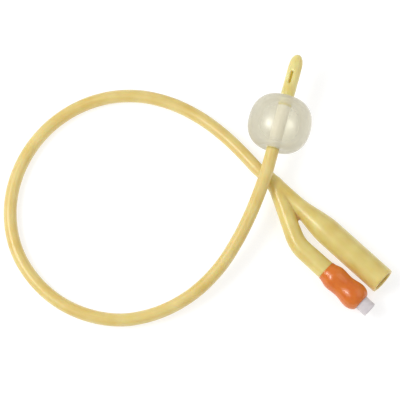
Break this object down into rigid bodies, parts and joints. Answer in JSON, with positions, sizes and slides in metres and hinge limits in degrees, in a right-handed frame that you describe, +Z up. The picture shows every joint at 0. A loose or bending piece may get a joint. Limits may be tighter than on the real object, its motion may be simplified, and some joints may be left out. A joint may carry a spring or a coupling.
{
  "type": "foley urinary catheter",
  "caption": "Balloon catheter lying in a loop, with a drainage funnel, an inflation arm with an orange sleeve and a valve, a filled balloon and a rounded tip with drainage eyes.",
  "frame": {"origin": "on the surface that the catheter lies on, under the middle of the box of its two ends", "axes": "+X points out of the drainage funnel's mouth, +Y to the side of the balloon and tip, +Z up"},
  "size_m": [0.1519, 0.1448, 0.026],
  "materials": {
    "latex": "satin",
    "balloon_latex": "satin",
    "orange_vinyl": "gloss",
    "white_polypropylene": "satin",
    "black_rubber": "matt",
    "spring_steel": "drawn"
  },
  "bodies": {
    "catheter": {"shaft_tube": "latex", "drainage_tip": "latex", "y_funnel": "latex", "balloon": "balloon_latex", "valve_sleeve": "orange_vinyl", "valve_body": "white_polypropylene", "valve_retainer": "white_polypropylene", "valve_spring": "spring_steel"},
    "plunger": {"valve_plunger": "white_polypropylene", "valve_seal": "black_rubber"}
  },
  "joints": [
    {"name": "plunger_slide", "type": "slide", "parent": "catheter", "child": "plunger", "axis": [-1, 0, 0], "range_m": [0, 0.0015], "stiffness_N_per_m": 300, "deforming": ["valve_spring"]}
  ]
}
